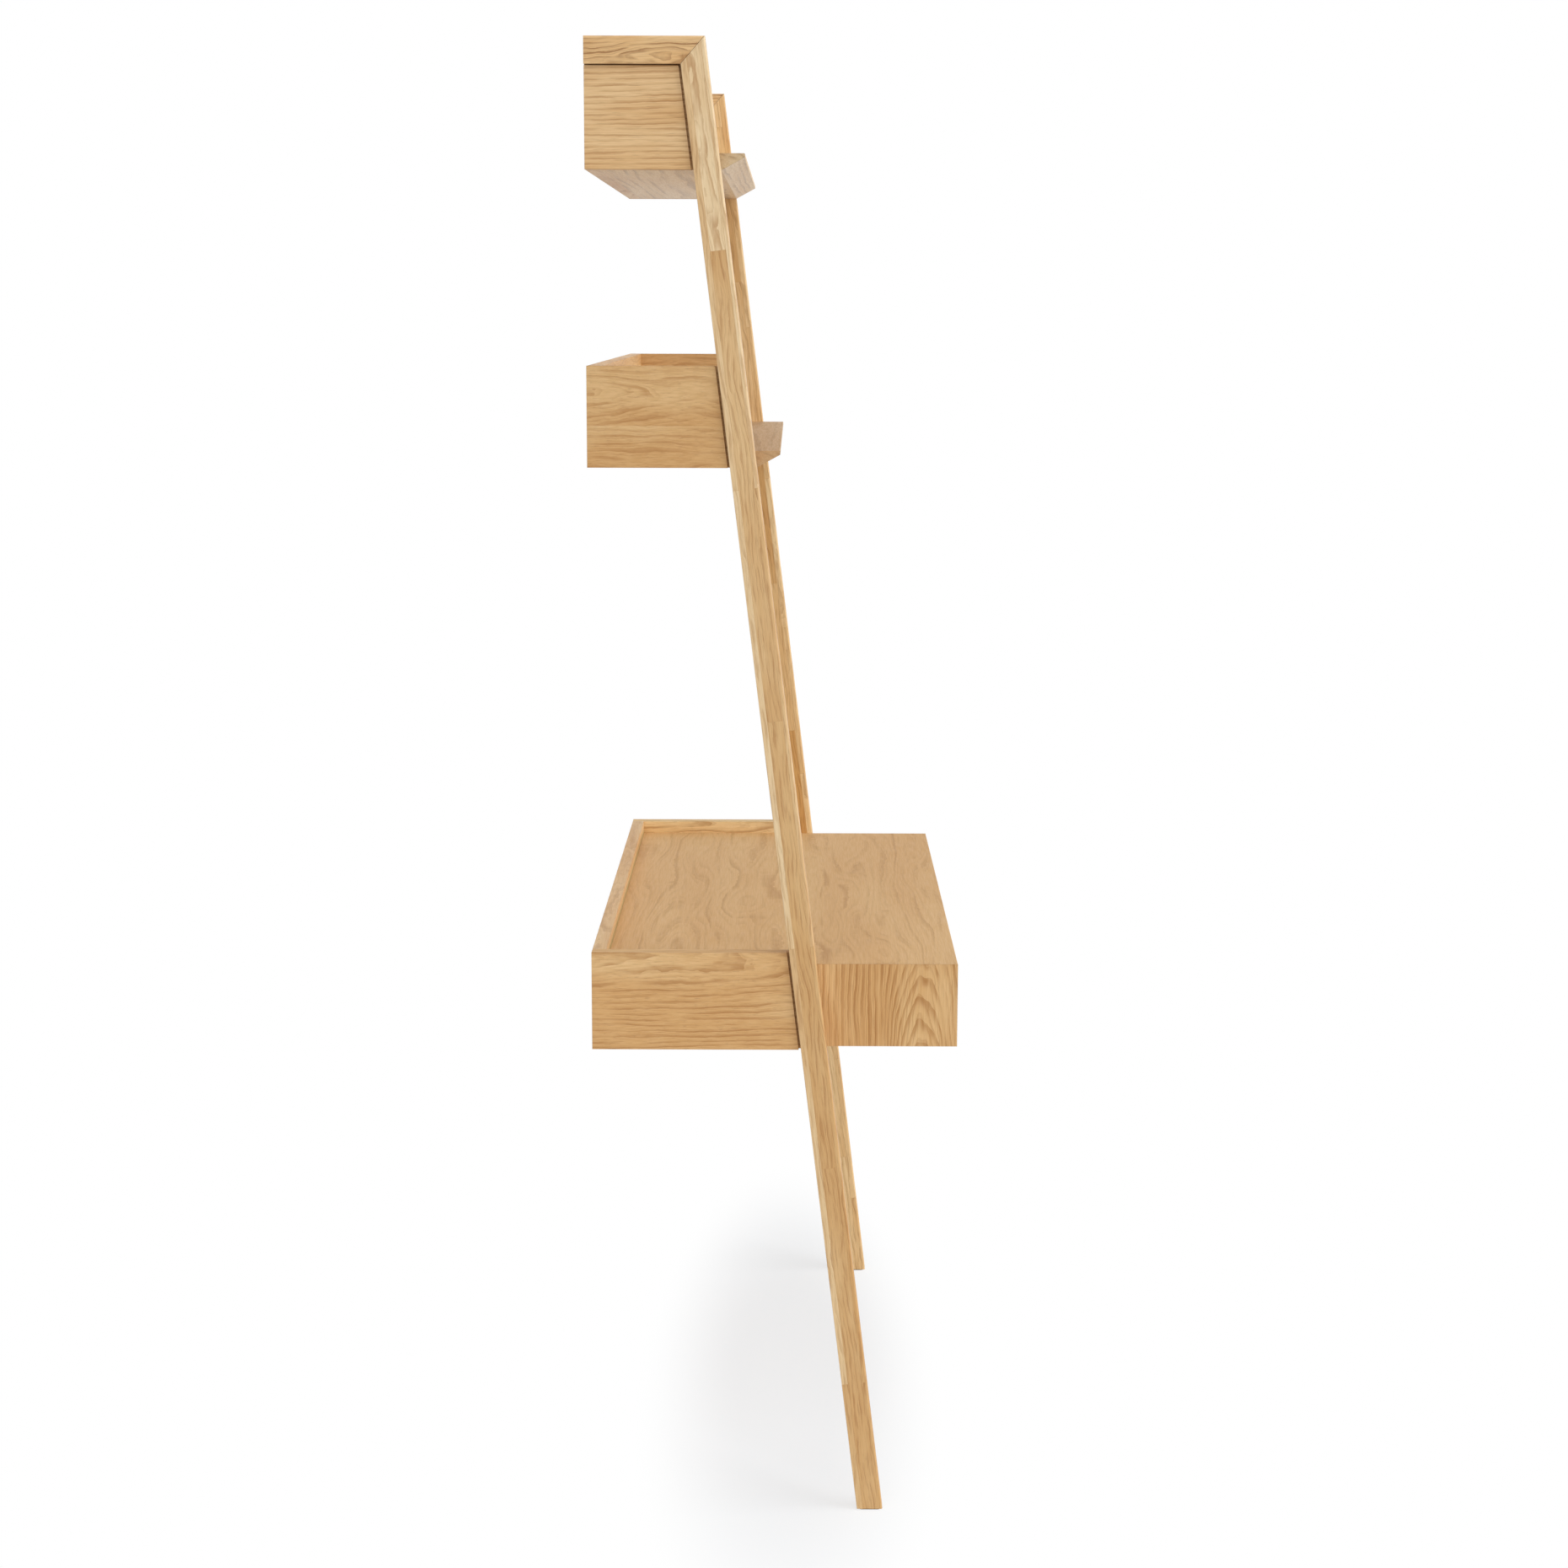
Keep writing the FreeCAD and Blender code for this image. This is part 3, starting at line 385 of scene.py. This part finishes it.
# pressed wool felt: matt and mottled, with a softly pale nap
brownFelt = {"dark": "#4A3A2C", "pale": "#6B5744", "fibre": 0.8, "bump": 0.8, "depth": 0.5, "rough": 0.95,
             "nap": 0.3}
felt, tree = newMaterial("brown_felt")
where = addNode(tree, "TexCoord")["Object"]
fuzz = addNode(tree, "TexNoise", {"Vector": where, "Scale": 1000 / brownFelt["fibre"], "Detail": 6.0})[0]
tint = addNode(tree, "Mix", {0: fuzz, 6: linear(brownFelt["dark"]), 7: linear(brownFelt["pale"])},
               data_type="RGBA")[2]
normal = addNode(tree, "Bump", {"Height": fuzz, "Strength": brownFelt["bump"],
                                "Distance": brownFelt["depth"] / 1000})[0]
shader = addNode(tree, "BsdfPrincipled", {"Base Color": tint, "Roughness": brownFelt["rough"],
                                          "Sheen Weight": brownFelt["nap"], "Normal": normal})[0]
addNode(tree, "OutputMaterial", {"Surface": shader})
paint(felt, "left_foot_glide", "right_foot_glide")
print("metals and felt done")

# Slide screws: pan heads with a cross slot, three through the web of each inner slide into its drawer side

slideScrew = {"radius": 3.6, "height": 1.7, "rim": 0.9, "slotLength": 4.2, "slotWidth": 0.9, "slotDepth": 0.9,
              "web": 1.5, "fromFront": (42.0, 190.0, 338.0), "facets": 32, "rimSteps": 5, "smoothUnder": 35}
radius, height, rim, slotLength, slotWidth, slotDepth, web = metres(
    slideScrew[size] for size in ("radius", "height", "rim", "slotLength", "slotWidth", "slotDepth", "web"))
bpy.ops.object.select_all(action="DESELECT")
bpy.ops.mesh.primitive_cylinder_add(vertices=slideScrew["facets"], radius=radius, depth=height,
                                    location=(0, 0, height / 2))
head = bpy.context.object
bpy.ops.object.transform_apply(location=True)
bpy.ops.object.mode_set(mode="EDIT")
bpy.ops.mesh.select_mode(type="EDGE")
bpy.ops.mesh.select_all(action="DESELECT")
mesh = bmesh.from_edit_mesh(head.data)
for edge in mesh.edges:
    edge.select_set(all(corner.co.z > height / 2 for corner in edge.verts))
bmesh.update_edit_mesh(head.data)
bpy.ops.mesh.bevel(offset=rim, segments=slideScrew["rimSteps"])
bpy.ops.object.mode_set(mode="OBJECT")
for turn in (0, 90):
    bpy.ops.mesh.primitive_cube_add(size=1, location=(0, 0, height), rotation=radians((0, 0, turn)),
                                    scale=(slotLength, slotWidth, 2 * slotDepth))
    cutter = bpy.context.object
    slot = head.modifiers.new("crossSlot", "BOOLEAN")
    slot.operation = "DIFFERENCE"
    slot.object = cutter
    bpy.context.view_layer.objects.active = head
    bpy.ops.object.modifier_apply(modifier=slot.name)
    bpy.data.objects.remove(cutter)
head.data.materials.clear()
head.data.materials.append(steel)
head.select_set(True)
bpy.ops.object.shade_smooth_by_angle(angle=math.radians(slideScrew["smoothUnder"]))

for side, sign in sides:
    low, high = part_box(f"{side}_drawer_inner_slides")
    bpy.ops.object.select_all(action="DESELECT")
    for board, outward in (("outer_side", sign), ("inner_side", -sign)):
        near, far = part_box(f"{side}_drawer_{board}")
        face = (far[0] if outward > 0 else near[0]) + outward * web
        for back in metres(slideScrew["fromFront"]):
            screw = head.copy()
            screw.data = head.data.copy()
            screw.location = (face, low[1] + back, (low[2] + high[2]) / 2)
            screw.rotation_euler = radians((0, outward * 90, 0))
            bpy.context.scene.collection.objects.link(screw)
            screw.select_set(True)
    bpy.context.view_layer.objects.active = screw
    bpy.ops.object.join()
    bpy.ops.object.transform_apply(location=True, rotation=True, scale=True)
    screw.name = screw.data.name = f"{side}_slide_screws"
    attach(screw, f"{side}_drawer")
bpy.data.objects.remove(head)
print("slide screws driven:", 4 * len(slideScrew["fromFront"]))

# Studio: white floor and backdrop, soft light from all round, and two broad lamps. The floor shows the desk's
# shadow near the feet, in an oval of the half lengths given, and clears to white beyond it. Metres.

studio = {"floorColour": "#F2F6FB", "floorSize": 14.0, "shadowShare": 0.5, "shadowPlace": (0.0, -0.02, 0.0),
          "shadowHalves": (1.1, 0.23, 1.0), "clearFrom": 0.3, "ambient": 0.38}


def seenDirectly(tree):
    rays = addNode(tree, "LightPath")
    seen = addNode(tree, "Math", {0: rays["Is Camera Ray"], 1: rays["Is Glossy Ray"]}, operation="MAXIMUM")[0]
    return addNode(tree, "Math", {0: seen, 1: rays["Is Transmission Ray"]}, operation="MAXIMUM")[0]


bpy.ops.object.select_all(action="DESELECT")
bpy.ops.mesh.primitive_plane_add(size=studio["floorSize"], location=(0, 0, 0))
floor = bpy.context.object
floor.name = "studioFloor"
floorPaint, tree = newMaterial("white_floor")
where = addNode(tree, "TexCoord")["Object"]
oval = addNode(tree, "Mapping", {"Vector": where, "Location": studio["shadowPlace"],
                                 "Scale": studio["shadowHalves"]}, vector_type="TEXTURE")[0]
away = addNode(tree, "VectorMath", {0: oval}, operation="LENGTH")["Value"]
clear = addNode(tree, "MapRange", {
    "Value": away, "From Min": studio["clearFrom"], "From Max": 1.0,
    "To Min": 1 - studio["shadowShare"], "To Max": 1.0}, interpolation_type="SMOOTHSTEP")[0]
share = addNode(tree, "Math", {0: clear, 1: seenDirectly(tree)}, operation="MULTIPLY")[0]
matt = addNode(tree, "BsdfDiffuse", {"Color": linear(studio["floorColour"])})[0]
glow = addNode(tree, "Emission", {"Color": (1, 1, 1, 1), "Strength": 1.0})[0]
mixed = addNode(tree, "MixShader", {0: share, 1: matt, 2: glow})[0]
addNode(tree, "OutputMaterial", {"Surface": mixed})
floor.data.materials.append(floorPaint)

world = bpy.data.worlds.new("studioWorld")
world.use_nodes = True
tree = world.node_tree
tree.nodes.clear()
soft = addNode(tree, "Background", {"Color": (1, 1, 1, 1), "Strength": studio["ambient"]})[0]
white = addNode(tree, "Background", {"Color": (1, 1, 1, 1), "Strength": 1.0})[0]
both = addNode(tree, "MixShader", {0: seenDirectly(tree), 1: soft, 2: white})[0]
addNode(tree, "OutputWorld", {"Surface": both})
bpy.context.scene.world = world

lamps = {                   # distant broad lamps, with no falloff: one in front of the desk, one beside it
    "keyLamp": {"from": (-0.30, -0.85, 0.43), "strength": 2.0, "spread": 50},
    "fillLamp": {"from": (-0.75, 0.05, 0.66), "strength": 0.95, "spread": 60},
}
for name, setting in lamps.items():
    lamp = bpy.data.lights.new(name, "SUN")
    lamp.energy = setting["strength"]
    lamp.angle = math.radians(setting["spread"])
    holder = bpy.data.objects.new(name, lamp)
    holder.rotation_euler = (-Vector(setting["from"])).to_track_quat("-Z", "Y").to_euler()
    bpy.context.scene.collection.objects.link(holder)

# Camera: beside the desk at eye height, looking along its width

view = {"place": (-4.1497, -0.02323, 1.59754), "turn": (80.5725, -0.1342, -89.7852), "lens": 65.806,
        "sensor": 36.0}
camera = bpy.data.cameras.new("sideCamera")
camera.lens = view["lens"]
camera.sensor_width = view["sensor"]
eye = bpy.data.objects.new("sideCamera", camera)
eye.location = view["place"]
eye.rotation_euler = radians(view["turn"])
bpy.context.scene.collection.objects.link(eye)
bpy.context.scene.camera = eye
bpy.context.scene.view_settings.view_transform = "Standard"
print("studio and camera ready")
